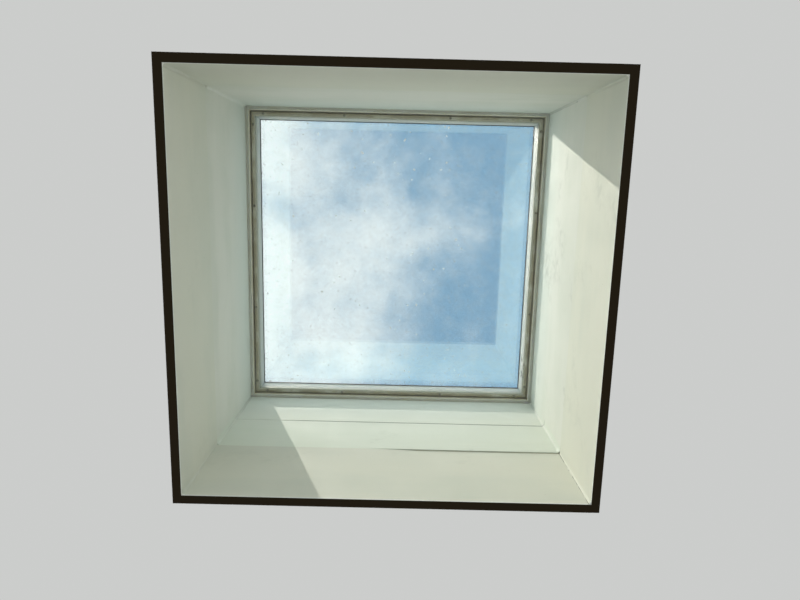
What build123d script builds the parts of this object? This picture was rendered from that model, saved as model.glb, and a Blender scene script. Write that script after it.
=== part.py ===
from build123d import *
from math import radians, tan
import os

# A fixed, square roof skylight on its timber curb, with the boarded light well below it.
# Millimetres, Z up. The origin is the centre of the well's lower rim, in the rim's plane.
# Left is -X, right is +X, front is -Y and back is +Y.
#
# Most of the skylight runs round the opening with one section. A section is drawn on the right-hand
# side: its inset counts from the curb's inner face towards the opening, so it is negative over the
# curb, and its rise counts up from the frame's underside.

# Light well: painted boards that line the opening from its lower rim up to the curb
well_width = 571.5
lining_depth = 165.1
lining_thickness = 12.7
lining_step = 1.5
lining_screw_margin = 34.0

# Curb: planed boards on edge on the roof deck, the back one made up of two strips
curb_thickness = 38.1
curb_height = 235.0
back_strip_height = 114.9
eased_edge = 1.6
curb_screw_margin = 32.0
caulk_leg = 3.5
caulk_hollow = 4.9

# Cleats: bent steel angles that hold the curb down on the deck
cleat_leg = 38.0
cleat_length = 100.0
cleat_thickness = 2.7
cleat_bend = 3.0
cleat_margin = 84.0
cleat_hole_spacing = 60.0
cleat_hole_radius = 2.75
cleat_hole_height = 23.0

# Foam strip between curb and frame
curb_gasket_thickness = 3.0
curb_gasket_setback = 3.0

# Welded frame, from the curb's face to the glass
frame_overhang = 3.5
frame_wall = 2.8
frame_shoulder = 14.6
bead_inset = 3.0
bead_width = 3.6
bead_drop = 0.8
slot_width = 2.8
slot_rise = 13.0
band_rise = 5.5
band_width = 7.5
band_corner = 0.6
lip_lean = 3.9
lip_groove_rise = 15.0
lip_groove = 0.9
seat_rise = 28.0
rebate_width = 20.8
upstand_chamber_width = 9.7

# Steel bars in the frame's chambers, and the screws that bite into them
bar_width = 25.0
bar_thickness = 5.0
bar_fit = 0.3
bar_end_gap = 9.0
frame_screw_inset = 12.1
frame_screw_margin = 20.15
frame_screw_pitch = 153.2

# Double glazing
inner_gasket_thickness = 3.0
inner_gasket_lip = 1.0
glass_edge_gap = 3.5
inner_pane_thickness = 6.0
outer_pane_thickness = 4.0
pane_gap = 12.0
ground_edge = 0.5
edge_seal_depth = 4.5
spacer_depth = 6.0
spacer_wall = 0.8
spacer_bend = 3.0
primary_seal_thickness = 0.4
primary_seal_setback = 1.0
desiccant_fit = 0.2
outer_gasket_thickness = 2.5
outer_gasket_setback = 1.5
outer_gasket_lip = 0.5
setting_block_length = 60.0
setting_block_spacing = 340.0
setting_block_height = 21.0

# Aluminium cladding, mitred at its corners
cladding_thickness = 1.6
cladding_fit = 0.4
cladding_cover = 13.8
skirt_drop = 24.0
drip = 6.0
mitre_gap = 0.3
weep_length = 24.0
weep_width = 4.0
weep_spacing = 300.0
weep_height = 5.0
corner_key_leg = 30.0
corner_key_thickness = 2.0
corner_key_height = 16.0
corner_key_margin = 3.0
fixing_spacing = 200.0
fixing_drop = 12.0

# Screws: the radius of shank and head, and the length under a raised head or from a countersunk
# head's outer face. A point is as long as its shank's radius times the taper.
lining_screw_radius = 1.75
lining_screw_head = 3.6
lining_screw_length = 42.0
curb_screw_radius = 2.5
curb_screw_head = 5.0
curb_screw_length = 90.0
cleat_screw_radius = 2.4
cleat_screw_head = 4.6
cleat_screw_head_height = 3.6
cleat_screw_length = 30.0
frame_screw_radius = 1.5
frame_screw_head = 2.5
frame_screw_head_height = 1.7
frame_screw_length = 17.5
fixing_screw_radius = 2.75
fixing_screw_head = 4.6
fixing_screw_head_height = 4.4
fixing_screw_length = 36.0
screw_point_taper = 1.5
screw_fit = 0.2
countersink_angle = 90.0
washer_radius = 7.5
washer_thickness = 2.0

# Places worked out from the sizes above
curb_face = well_width / 2
curb_outer = curb_face + curb_thickness
lining_face = curb_face + lining_step
lining_outer = lining_face + lining_thickness
deck = lining_depth
curb_top = deck + curb_height
seam = deck + back_strip_height
frame_underside = curb_top + curb_gasket_thickness

frame_outer_inset = -(curb_thickness + frame_overhang)
bead_end = bead_inset + bead_width
slot_end = bead_end + slot_width
band_end = slot_end + band_width
seat_end = band_end + lip_lean
rebate_inset = seat_end - rebate_width
glass_inset = rebate_inset + glass_edge_gap
seal_inset = glass_inset + edge_seal_depth
spacer_inset = seal_inset + spacer_depth

inner_pane_rise = seat_rise + inner_gasket_thickness
spacer_rise = inner_pane_rise + inner_pane_thickness
outer_pane_rise = spacer_rise + pane_gap
outer_gasket_rise = outer_pane_rise + outer_pane_thickness
frame_height = outer_gasket_rise + outer_gasket_thickness

skirt_face = curb_face - frame_outer_inset + cladding_fit
skirt_outer = skirt_face + cladding_thickness
cladding_edge_inset = rebate_inset + cladding_cover
cleat_offset = curb_outer - cleat_margin - cleat_length / 2

directions = {"right": (1, 0), "back": (0, 1), "left": (-1, 0), "front": (0, -1)}


def half_width(inset):
    """Half the width of a square that runs at this inset round the opening."""
    return curb_face - inset


def section_point(inset, rise):
    """A point of a section drawn on the right-hand side."""
    return (half_width(inset), frame_underside + rise)


def side_plane(side, distance):
    """The outward plane of one side: its x runs along the side, and its y runs up from the rim."""
    x, y = directions[side]
    return Plane(origin=(x * distance, y * distance, 0), x_dir=(-y, x, 0), z_dir=(x, y, 0))


def square(half, bend=0.0, mode=Mode.ADD):
    """A square centred on the opening, given by its half width. Bent corners are rounded."""
    if bend:
        RectangleRounded(2 * half, 2 * half, bend, mode=mode)
    else:
        Rectangle(2 * half, 2 * half, mode=mode)


def pointed_shank(radius, length):
    """The outline of a screw's shank below its head, from the shank's surface to the point."""
    return [(radius, screw_point_taper * radius - length), (0, -length)]


def countersunk_screw(radius, head, length):
    """A countersunk screw that points down from the origin, its head flush with it."""
    cone = (head - radius) / tan(radians(countersink_angle / 2))
    with BuildPart() as screw:
        with BuildSketch(Plane.XZ):
            with BuildLine():
                Polyline((0, 0), (head, 0), (radius, -cone), *pointed_shank(radius, length), close=True)
            make_face()
        revolve(axis=Axis.Z)
    return screw.part


def pan_head_screw(radius, head, head_height, length):
    """A screw with a low tapered head on top of the origin, and its shank pointing down."""
    with BuildPart() as screw:
        with BuildSketch(Plane.XZ):
            with BuildLine():
                Polyline(
                    (0, head_height),
                    (radius, head_height),
                    (head, 0),
                    (radius, 0),
                    *pointed_shank(radius, length),
                    close=True,
                )
            make_face()
        revolve(axis=Axis.Z)
    return screw.part


def hex_head_screw(radius, head, head_height, length):
    """A screw with a six-sided head on top of the origin, and its shank pointing down."""
    with BuildPart() as screw:
        with BuildSketch():
            RegularPolygon(head, 6)
        extrude(amount=head_height)
        with BuildSketch(Plane.XZ):
            with BuildLine():
                Polyline((0, 0), (radius, 0), *pointed_shank(radius, length), close=True)
            make_face()
        revolve(axis=Axis.Z)
    return screw.part


def mitre(half_gap):
    """Cuts the length of the right-hand side that is being built at its two corners."""
    for direction in ((1, -1, 0), (1, 1, 0)):
        split(bisect_by=Plane(origin=(0, 0, 0), z_dir=direction).offset(half_gap), keep=Keep.TOP)


os.makedirs("parts", exist_ok=True)

# Fastener places, used by the boards that are drilled and by the screws themselves
lining_screw_heights = (lining_screw_margin, lining_depth - lining_screw_margin)
curb_screw_heights = (
    deck + curb_screw_margin,
    seam - curb_screw_margin,
    seam + curb_screw_margin,
    curb_top - curb_screw_margin,
)
lining_ends = [
    (side * (lining_face + lining_thickness / 2), height)
    for side in (-1, 1)
    for height in lining_screw_heights
]
curb_ends = [
    (side * (curb_face + curb_thickness / 2), height) for side in (-1, 1) for height in curb_screw_heights
]
cleat_places = [
    (side * cleat_offset + hole * cleat_hole_spacing / 2, deck + cleat_hole_height)
    for side in (-1, 1)
    for hole in (-1, 1)
]
fixing_places = [(step * fixing_spacing, curb_top - fixing_drop) for step in (-1, 0, 1)]
lining_hole_depth = lining_screw_length - lining_thickness + screw_fit
curb_hole_depth = curb_screw_length - curb_thickness + screw_fit
cleat_hole_depth = cleat_screw_length - cleat_thickness + screw_fit
fixing_hole_depth = fixing_screw_length - washer_thickness - (skirt_outer - curb_outer) + screw_fit
frame_screw_end = half_width(frame_screw_inset) - frame_screw_margin
frame_screw_row = [
    (half_width(frame_screw_inset), side * (frame_screw_end - step * frame_screw_pitch))
    for side in (-1, 1)
    for step in (0, 1)
]


# Lining boards. The side boards run the full length, and the end boards fit between them.
for side in ("left", "right"):
    with BuildPart() as lining_side:
        with BuildSketch(Plane.XY):
            with Locations((directions[side][0] * (lining_face + lining_thickness / 2), 0)):
                Rectangle(lining_thickness, 2 * lining_outer)
        extrude(amount=lining_depth)
        with Locations(side_plane(side, lining_outer)):
            with Locations(*lining_ends):
                CounterSinkHole(
                    lining_screw_radius + screw_fit,
                    lining_screw_head + screw_fit,
                    counter_sink_angle=countersink_angle,
                    depth=lining_thickness,
                )
    lining_side.part.label = f"lining_{side}"
    export_step(lining_side.part, f"parts/lining_{side}.step")

for side in ("front", "back"):
    with BuildPart() as lining_end:
        with BuildSketch(Plane.XY):
            with Locations((0, directions[side][1] * (lining_face + lining_thickness / 2))):
                Rectangle(2 * lining_face, lining_thickness)
        extrude(amount=lining_depth)
        for face in ("left", "right"):
            with Locations(side_plane(face, lining_face)):
                with Locations(*lining_ends):
                    Hole(lining_screw_radius + screw_fit, depth=lining_hole_depth)
    lining_end.part.label = f"lining_{side}"
    export_step(lining_end.part, f"parts/lining_{side}.step")

lining_screw = countersunk_screw(lining_screw_radius, lining_screw_head, lining_screw_length)
with BuildPart() as lining_screws:
    for side in ("left", "right"):
        with Locations(side_plane(side, lining_outer)):
            with Locations(*lining_ends):
                add(lining_screw)
lining_screws.part.label = "lining_screws"
export_step(lining_screws.part, "parts/lining_screws.step")


# Curb boards, with eased long edges where a joint shows inside the well
for side in ("left", "right"):
    with BuildPart() as curb_side:
        with BuildSketch(Plane.XY.offset(deck)):
            with Locations((directions[side][0] * (curb_face + curb_thickness / 2), 0)):
                Rectangle(curb_thickness, 2 * curb_outer)
        extrude(amount=curb_height)
        fillet(curb_side.edges().filter_by(Axis.Y).group_by(Axis.Z)[0], radius=eased_edge)
        with Locations(side_plane(side, curb_outer)):
            with Locations(*curb_ends):
                CounterSinkHole(
                    curb_screw_radius + screw_fit,
                    curb_screw_head + screw_fit,
                    counter_sink_angle=countersink_angle,
                    depth=curb_thickness,
                )
            with Locations(*cleat_places):
                Hole(cleat_screw_radius + screw_fit, depth=cleat_hole_depth)
            with Locations(*fixing_places):
                Hole(fixing_screw_radius + screw_fit, depth=fixing_hole_depth)
    curb_side.part.label = f"curb_{side}"
    export_step(curb_side.part, f"parts/curb_{side}.step")

end_boards = (
    ("curb_front", "front", deck, curb_height),
    ("curb_back_lower", "back", deck, back_strip_height),
    ("curb_back_upper", "back", seam, curb_height - back_strip_height),
)
for name, side, bottom, height in end_boards:
    top = bottom + height
    with BuildPart() as curb_end:
        with BuildSketch(Plane.XY.offset(bottom)):
            with Locations((0, directions[side][1] * (curb_face + curb_thickness / 2))):
                Rectangle(2 * curb_face, curb_thickness)
        extrude(amount=height)
        long_edges = curb_end.edges().filter_by(Axis.X).group_by(Axis.Z)
        fillet(long_edges[0] + (long_edges[-1] if top < curb_top else []), radius=eased_edge)
        screw_ends = [place for place in curb_ends if bottom < place[1] < top]
        for face in ("left", "right"):
            with Locations(side_plane(face, curb_face)):
                with Locations(*screw_ends):
                    Hole(curb_screw_radius + screw_fit, depth=curb_hole_depth)
        if top == curb_top:
            with Locations(side_plane(side, curb_outer)):
                with Locations(*fixing_places):
                    Hole(fixing_screw_radius + screw_fit, depth=fixing_hole_depth)
    curb_end.part.label = name
    export_step(curb_end.part, f"parts/{name}.step")

curb_screw = countersunk_screw(curb_screw_radius, curb_screw_head, curb_screw_length)
with BuildPart() as curb_corner_screws:
    for side in ("left", "right"):
        with Locations(side_plane(side, curb_outer)):
            with Locations(*curb_ends):
                add(curb_screw)
curb_corner_screws.part.label = "curb_corner_screws"
export_step(curb_corner_screws.part, "parts/curb_corner_screws.step")


# Caulk in the four inner corners of the well, tooled to a hollow, on each tier of boards
with BuildPart() as corner_caulk:
    for face, bottom, height in ((lining_face, 0, lining_depth), (curb_face, deck, curb_height)):
        with BuildSketch(Plane.XY.offset(bottom)):
            with BuildLine():
                Line((face, face), (face - caulk_leg, face))
                RadiusArc((face - caulk_leg, face), (face, face - caulk_leg), caulk_hollow)
                Line((face, face - caulk_leg), (face, face))
            make_face()
        extrude(amount=height)
    mirror(about=Plane.YZ)
    mirror(about=Plane.XZ)
corner_caulk.part.label = "corner_caulk"
export_step(corner_caulk.part, "parts/corner_caulk.step")


# Cleats, two on each side board, with their screws into the curb. The deck holes stay free.
for end, end_sign in (("front", -1), ("back", 1)):
    for side in ("left", "right"):
        side_sign = directions[side][0]
        with BuildPart() as cleat:
            with BuildSketch(Plane.XZ.offset(-end_sign * cleat_offset)) as angle:
                with Locations((side_sign * curb_outer, deck)):
                    corner = (Align.MIN if side_sign > 0 else Align.MAX, Align.MIN)
                    Rectangle(cleat_thickness, cleat_leg, align=corner)
                    Rectangle(cleat_leg, cleat_thickness, align=corner)
                bends = angle.vertices().sort_by_distance((side_sign * curb_outer, 0, deck))
                fillet(bends[1], radius=cleat_bend)
                fillet(bends[0], radius=cleat_bend + cleat_thickness)
            extrude(amount=cleat_length / 2, both=True)
            with Locations(side_plane(side, curb_outer + cleat_thickness)):
                with Locations(*cleat_places):
                    Hole(cleat_hole_radius, depth=cleat_thickness)
            with Locations((side_sign * (curb_outer + cleat_hole_height), end_sign * cleat_offset, deck)):
                with GridLocations(0, cleat_hole_spacing, 1, 2):
                    Hole(cleat_hole_radius, depth=cleat_thickness)
        name = f"curb_cleat_{end}_{side}"
        cleat.part.label = name
        export_step(cleat.part, f"parts/{name}.step")

cleat_screw = hex_head_screw(
    cleat_screw_radius, cleat_screw_head, cleat_screw_head_height, cleat_screw_length
)
with BuildPart() as cleat_screws:
    for side in ("left", "right"):
        with Locations(side_plane(side, curb_outer + cleat_thickness)):
            with Locations(*cleat_places):
                add(cleat_screw)
cleat_screws.part.label = "cleat_screws"
export_step(cleat_screws.part, "parts/cleat_screws.step")


# Foam strip under the frame, set back from both faces of the curb
with BuildPart() as curb_gasket:
    with BuildSketch(Plane.XY.offset(curb_top)):
        square(curb_outer - curb_gasket_setback)
        square(curb_face + curb_gasket_setback, mode=Mode.SUBTRACT)
    extrude(amount=curb_gasket_thickness)
curb_gasket.part.label = "curb_gasket"
export_step(curb_gasket.part, "parts/curb_gasket.step")


# Frame: one mitred length with its chambers, welded to its three neighbours, and the screw holes
lip_slope = lip_lean / (seat_rise - band_rise)
chamber_floor = slot_rise + frame_wall
chamber_roof = seat_rise - frame_wall
column_inset = rebate_inset - frame_wall - upstand_chamber_width
outer_chamber_inset = frame_outer_inset + frame_wall
shoulder_cut = frame_shoulder - frame_wall * (2**0.5 - 1)


def lip_inset(rise):
    """The inset of the leaning sight edge at one rise."""
    return band_end + lip_slope * (rise - band_rise)


with BuildPart() as frame_length:
    with BuildSketch(Plane.XZ) as frame_section:
        with BuildLine():
            Polyline(
                section_point(frame_outer_inset, 0),
                section_point(bead_inset, 0),
            )
            ThreePointArc(
                section_point(bead_inset, 0),
                section_point((bead_inset + bead_end) / 2, -bead_drop),
                section_point(bead_end, bead_drop),
            )
            Polyline(
                section_point(bead_end, bead_drop),
                section_point(bead_end, slot_rise),
                section_point(slot_end, slot_rise),
                section_point(slot_end, band_rise + band_corner),
                section_point(slot_end + band_corner, band_rise),
                section_point(band_end - band_corner, band_rise),
                section_point(lip_inset(band_rise + band_corner), band_rise + band_corner),
                section_point(lip_inset(lip_groove_rise), lip_groove_rise),
                section_point(lip_inset(lip_groove_rise) - lip_groove, lip_groove_rise),
                section_point(lip_inset(lip_groove_rise) - lip_groove, lip_groove_rise + lip_groove),
                section_point(lip_inset(lip_groove_rise + lip_groove), lip_groove_rise + lip_groove),
                section_point(seat_end, seat_rise),
                section_point(rebate_inset, seat_rise),
                section_point(rebate_inset, frame_height),
                section_point(frame_outer_inset + frame_shoulder, frame_height),
                section_point(frame_outer_inset, frame_height - frame_shoulder),
                section_point(frame_outer_inset, 0),
            )
        make_face()
        with BuildLine():
            Polyline(
                section_point(column_inset, chamber_floor),
                section_point(lip_inset(chamber_floor) - frame_wall, chamber_floor),
                section_point(lip_inset(chamber_roof) - frame_wall, chamber_roof),
                section_point(column_inset, chamber_roof),
                close=True,
            )
        make_face(mode=Mode.SUBTRACT)
        with BuildLine():
            Polyline(
                section_point(outer_chamber_inset, frame_wall),
                section_point(bead_end - frame_wall, frame_wall),
                section_point(bead_end - frame_wall, slot_rise),
                section_point(outer_chamber_inset, slot_rise),
                close=True,
            )
        make_face(mode=Mode.SUBTRACT)
        with BuildLine():
            Polyline(
                section_point(outer_chamber_inset, chamber_floor),
                section_point(column_inset - frame_wall, chamber_floor),
                section_point(column_inset - frame_wall, frame_height - frame_wall),
                section_point(outer_chamber_inset + shoulder_cut - frame_wall, frame_height - frame_wall),
                section_point(outer_chamber_inset, frame_height - shoulder_cut),
                close=True,
            )
        make_face(mode=Mode.SUBTRACT)
        with BuildLine():
            Polyline(
                section_point(column_inset, chamber_roof + frame_wall),
                section_point(rebate_inset - frame_wall, chamber_roof + frame_wall),
                section_point(rebate_inset - frame_wall, frame_height - frame_wall),
                section_point(column_inset, frame_height - frame_wall),
                close=True,
            )
        make_face(mode=Mode.SUBTRACT)
    extrude(amount=half_width(frame_outer_inset), both=True)
    mitre(0)

band_screws = Plane(origin=(0, 0, frame_underside + band_rise), x_dir=(1, 0, 0), z_dir=(0, 0, -1))
with BuildPart() as inner_frame:
    with PolarLocations(0, 4):
        add(frame_length.part)
    with Locations(band_screws):
        with PolarLocations(0, 4):
            with Locations(*frame_screw_row):
                Hole(frame_screw_radius + screw_fit, depth=chamber_floor - band_rise)
inner_frame.part.label = "inner_frame"
export_step(inner_frame.part, "parts/inner_frame.step")


# Steel bars on the floor of the frame's inner chamber, stopped short of the welded corners
bar_inner_inset = lip_inset(chamber_floor) - frame_wall - bar_fit
bar_middle = half_width(bar_inner_inset - bar_width / 2)
bar_length = 2 * (half_width(bar_inner_inset) - bar_end_gap)
with BuildPart() as frame_bars:
    with PolarLocations(bar_middle, 4):
        with Locations((0, 0, frame_underside + chamber_floor)):
            Box(bar_width, bar_length, bar_thickness, align=(Align.CENTER, Align.CENTER, Align.MIN))
    with Locations(band_screws):
        with PolarLocations(0, 4):
            with Locations(*frame_screw_row):
                Hole(frame_screw_radius + screw_fit, depth=chamber_floor - band_rise + bar_thickness)
frame_bars.part.label = "frame_bars"
export_step(frame_bars.part, "parts/frame_bars.step")

frame_screw = pan_head_screw(
    frame_screw_radius, frame_screw_head, frame_screw_head_height, frame_screw_length
)
with BuildPart() as frame_screws:
    with Locations(band_screws):
        with PolarLocations(0, 4):
            with Locations(*frame_screw_row):
                add(frame_screw)
frame_screws.part.label = "frame_screws"
export_step(frame_screws.part, "parts/frame_screws.step")


# Seals, panes and spacer, from the frame's seat upwards
with BuildPart() as inner_gasket:
    with BuildSketch(Plane.XY.offset(frame_underside + seat_rise)):
        square(half_width(glass_inset))
        square(half_width(seat_end + inner_gasket_lip), mode=Mode.SUBTRACT)
    extrude(amount=inner_gasket_thickness)
inner_gasket.part.label = "inner_gasket"
export_step(inner_gasket.part, "parts/inner_gasket.step")

panes = (
    ("inner_pane", inner_pane_rise, inner_pane_thickness),
    ("outer_pane", outer_pane_rise, outer_pane_thickness),
)
for name, rise, thickness in panes:
    with BuildPart() as pane:
        with BuildSketch(Plane.XY.offset(frame_underside + rise)):
            square(half_width(glass_inset))
        extrude(amount=thickness)
        chamfer(pane.faces().filter_by(Axis.Z).edges(), length=ground_edge)
    pane.part.label = name
    export_step(pane.part, f"parts/{name}.step")

spacer_bottom = frame_underside + spacer_rise + primary_seal_thickness
spacer_height = pane_gap - 2 * primary_seal_thickness
hollow_outer = half_width(seal_inset) - spacer_wall
hollow_inner = half_width(spacer_inset) + spacer_wall
with BuildPart() as spacer_bar:
    with BuildSketch(Plane.XY.offset(spacer_bottom)):
        square(half_width(seal_inset), spacer_bend)
        square(half_width(spacer_inset), mode=Mode.SUBTRACT)
    extrude(amount=spacer_height)
    with BuildSketch(Plane.XY.offset(spacer_bottom + spacer_wall)):
        square(hollow_outer)
        square(hollow_inner, mode=Mode.SUBTRACT)
    extrude(amount=spacer_height - 2 * spacer_wall, mode=Mode.SUBTRACT)
spacer_bar.part.label = "spacer_bar"
export_step(spacer_bar.part, "parts/spacer_bar.step")

with BuildPart() as desiccant:
    with BuildSketch(Plane.XY.offset(spacer_bottom + spacer_wall + desiccant_fit)):
        square(hollow_outer - desiccant_fit)
        square(hollow_inner + desiccant_fit, mode=Mode.SUBTRACT)
    extrude(amount=spacer_height - 2 * (spacer_wall + desiccant_fit))
desiccant.part.label = "desiccant"
export_step(desiccant.part, "parts/desiccant.step")

with BuildPart() as primary_seal:
    for bottom in (frame_underside + spacer_rise, spacer_bottom + spacer_height):
        with BuildSketch(Plane.XY.offset(bottom)):
            square(half_width(seal_inset + primary_seal_setback))
            square(half_width(spacer_inset - primary_seal_setback), mode=Mode.SUBTRACT)
        extrude(amount=primary_seal_thickness)
primary_seal.part.label = "primary_seal"
export_step(primary_seal.part, "parts/primary_seal.step")

with BuildPart() as secondary_seal:
    with BuildSketch(Plane.XY.offset(frame_underside + spacer_rise)):
        square(half_width(glass_inset))
        square(half_width(seal_inset), spacer_bend, mode=Mode.SUBTRACT)
    extrude(amount=pane_gap)
secondary_seal.part.label = "secondary_seal"
export_step(secondary_seal.part, "parts/secondary_seal.step")

block_middle = half_width((rebate_inset + glass_inset) / 2)
with BuildPart() as setting_blocks:
    with PolarLocations(block_middle, 4):
        with GridLocations(0, setting_block_spacing, 1, 2):
            with Locations((0, 0, frame_underside + seat_rise)):
                Box(
                    glass_edge_gap,
                    setting_block_length,
                    setting_block_height,
                    align=(Align.CENTER, Align.CENTER, Align.MIN),
                )
setting_blocks.part.label = "setting_blocks"
export_step(setting_blocks.part, "parts/setting_blocks.step")

with BuildPart() as outer_gasket:
    with BuildSketch(Plane.XY.offset(frame_underside + outer_gasket_rise)):
        square(half_width(glass_inset + outer_gasket_setback))
        square(half_width(cladding_edge_inset + outer_gasket_lip), mode=Mode.SUBTRACT)
    extrude(amount=outer_gasket_thickness)
outer_gasket.part.label = "outer_gasket"
export_step(outer_gasket.part, "parts/outer_gasket.step")


# Cladding: one folded length on each side, from over the glass edge down past the curb's top
cladding_outer_inset = curb_face - skirt_face
skirt_rise = -(curb_gasket_thickness + skirt_drop)
with BuildPart() as cladding_length:
    with BuildSketch(Plane.XZ):
        with BuildLine():
            fold = Polyline(
                section_point(cladding_edge_inset, frame_height),
                section_point(cladding_outer_inset + frame_shoulder, frame_height),
                section_point(cladding_outer_inset, frame_height - frame_shoulder),
                section_point(cladding_outer_inset, skirt_rise),
                section_point(cladding_outer_inset - drip, skirt_rise - drip),
            )
            offset(fold, amount=cladding_thickness, side=Side.LEFT, kind=Kind.INTERSECTION)
        make_face()
    extrude(amount=skirt_outer + drip + cladding_thickness, both=True)
    mitre(mitre_gap / 2)
    with Locations(side_plane("right", skirt_outer)):
        with Locations(*fixing_places):
            Hole(fixing_screw_radius + screw_fit, depth=cladding_thickness)
    with BuildSketch(side_plane("right", skirt_outer)):
        with Locations((0, frame_underside + skirt_rise + weep_height)):
            with GridLocations(weep_spacing, 0, 2, 1):
                SlotOverall(weep_length, weep_width)
    extrude(amount=-cladding_thickness, mode=Mode.SUBTRACT)

for side, turn in (("right", 0), ("back", 90), ("left", 180), ("front", 270)):
    with BuildPart() as cladding:
        add(cladding_length.part, rotation=(0, 0, turn))
    cladding.part.label = f"cladding_{side}"
    export_step(cladding.part, f"parts/cladding_{side}.step")

key_bottom = frame_underside + skirt_rise + corner_key_margin
with BuildPart() as corner_keys:
    with BuildSketch(Plane.XY.offset(key_bottom)):
        with GridLocations(2 * skirt_face - corner_key_leg, 2 * skirt_face - corner_key_leg, 2, 2):
            Rectangle(corner_key_leg, corner_key_leg)
        inside = 2 * (skirt_face - corner_key_thickness)
        Rectangle(inside, inside, mode=Mode.SUBTRACT)
    extrude(amount=corner_key_height)
corner_keys.part.label = "corner_keys"
export_step(corner_keys.part, "parts/corner_keys.step")

with BuildPart() as sealing_washers:
    for side in directions:
        with BuildSketch(side_plane(side, skirt_outer)):
            with Locations(*fixing_places):
                Circle(washer_radius)
                Circle(fixing_screw_radius + screw_fit, mode=Mode.SUBTRACT)
        extrude(amount=washer_thickness)
sealing_washers.part.label = "sealing_washers"
export_step(sealing_washers.part, "parts/sealing_washers.step")

fixing_screw = hex_head_screw(
    fixing_screw_radius, fixing_screw_head, fixing_screw_head_height, fixing_screw_length
)
with BuildPart() as curb_fixing_screws:
    for side in directions:
        with Locations(side_plane(side, skirt_outer + washer_thickness)):
            with Locations(*fixing_places):
                add(fixing_screw)
curb_fixing_screws.part.label = "curb_fixing_screws"
export_step(curb_fixing_screws.part, "parts/curb_fixing_screws.step")
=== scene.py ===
from math import radians

import bmesh
import bpy
from mathutils import Matrix, Vector, noise


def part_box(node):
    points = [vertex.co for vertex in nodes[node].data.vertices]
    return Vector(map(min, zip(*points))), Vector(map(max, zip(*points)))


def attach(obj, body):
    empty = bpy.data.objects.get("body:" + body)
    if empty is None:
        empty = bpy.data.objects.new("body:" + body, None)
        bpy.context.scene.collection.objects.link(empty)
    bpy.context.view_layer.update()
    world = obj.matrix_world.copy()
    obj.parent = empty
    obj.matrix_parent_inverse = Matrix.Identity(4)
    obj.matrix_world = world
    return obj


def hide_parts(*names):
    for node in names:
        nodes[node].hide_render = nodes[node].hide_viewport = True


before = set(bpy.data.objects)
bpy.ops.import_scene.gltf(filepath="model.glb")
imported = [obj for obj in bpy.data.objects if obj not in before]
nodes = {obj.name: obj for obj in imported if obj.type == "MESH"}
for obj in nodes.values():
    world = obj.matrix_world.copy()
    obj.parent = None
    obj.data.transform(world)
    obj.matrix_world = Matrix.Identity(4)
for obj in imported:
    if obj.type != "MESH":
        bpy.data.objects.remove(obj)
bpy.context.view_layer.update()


# The lining is four plywood boards from the well's lower rim up to the roof deck, screwed together at their
# corners. Their inner faces are rolled with matt white paint, their outer faces are bare wood, and their
# lower edges are painted dark brown.
def node(material, kind, inputs=None, **settings):
    """Adds a shader node. An input takes a value, or the output that feeds it."""
    made = material.node_tree.nodes.new("ShaderNode" + kind)
    for name, value in settings.items():
        setattr(made, name, value)
    for name, value in (inputs or {}).items():
        if isinstance(value, bpy.types.NodeSocket):
            material.node_tree.links.new(value, made.inputs[name])
        else:
            made.inputs[name].default_value = value
    return made


def new_material(name, colour, roughness, **settings):
    """A material and its Principled shader, with a plain colour and roughness to start from."""
    material = bpy.data.materials.new(name)
    material.use_nodes = True
    shader = material.node_tree.nodes["Principled BSDF"]
    shader.inputs["Base Color"].default_value = (*colour, 1)
    shader.inputs["Roughness"].default_value = roughness
    for socket, value in settings.items():
        shader.inputs[socket.replace("_", " ")].default_value = value
    return material, shader


def feed(material, shader, **outputs):
    """Links outputs to a shader's inputs, named with underscores for spaces."""
    for name, output in outputs.items():
        material.node_tree.links.new(output, shader.inputs[name.replace("_", " ")])


def place(material, scale=(1, 1, 1), shift=(0, 0, 0), turn=(0, 0, 0)):
    """The surface's own coordinates in metres, turned first, then stretched and shifted."""
    own = node(material, "TexCoord").outputs["Object"]
    turned = node(material, "Mapping", {"Vector": own, "Rotation": turn}).outputs[0]
    return node(material, "Mapping", {"Vector": turned, "Scale": scale, "Location": shift}).outputs[0]


def cloud(material, scale, where=None, detail=3.0, roughness=0.5):
    """Soft noise from 0 to 1. The scale is in spots per metre."""
    inputs = {"Vector": where or place(material), "Scale": scale, "Detail": detail, "Roughness": roughness}
    return node(material, "TexNoise", inputs).outputs[0]


def ramp(material, value, low, high, start=0.0, end=1.0):
    """A smooth step: start below low, end above high."""
    inputs = {"Value": value, "From Min": low, "From Max": high, "To Min": start, "To Max": end}
    return node(material, "MapRange", inputs, interpolation_type="SMOOTHSTEP").outputs[0]


def maths(material, operation, first, second=0.0):
    """One sum on two values."""
    return node(material, "Math", {0: first, 1: second}, operation=operation).outputs[0]


def product(material, *factors):
    """Several values from 0 to 1 multiplied."""
    result = factors[0]
    for factor in factors[1:]:
        result = maths(material, "MULTIPLY", result, factor)
    return result


def remainder(material, share):
    """What a share leaves of 1."""
    return maths(material, "SUBTRACT", 1.0, share)


def blend(material, share, first, second):
    """Two colours mixed by a share of the second."""
    inputs = {0: share}
    for socket, colour in ((6, first), (7, second)):
        inputs[socket] = colour if isinstance(colour, bpy.types.NodeSocket) else (*colour, 1)
    return node(material, "Mix", inputs, data_type="RGBA").outputs[2]


def relief(material, height, depth, under=None):
    """A bump of this depth in metres, laid over another one."""
    inputs = {"Height": height, "Distance": depth, "Strength": 1.0}
    if under:
        inputs["Normal"] = under
    return node(material, "Bump", inputs).outputs[0]


def axes(material):
    """The surface's own x, y and z in metres."""
    return node(material, "SeparateXYZ", {0: place(material)}).outputs


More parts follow.
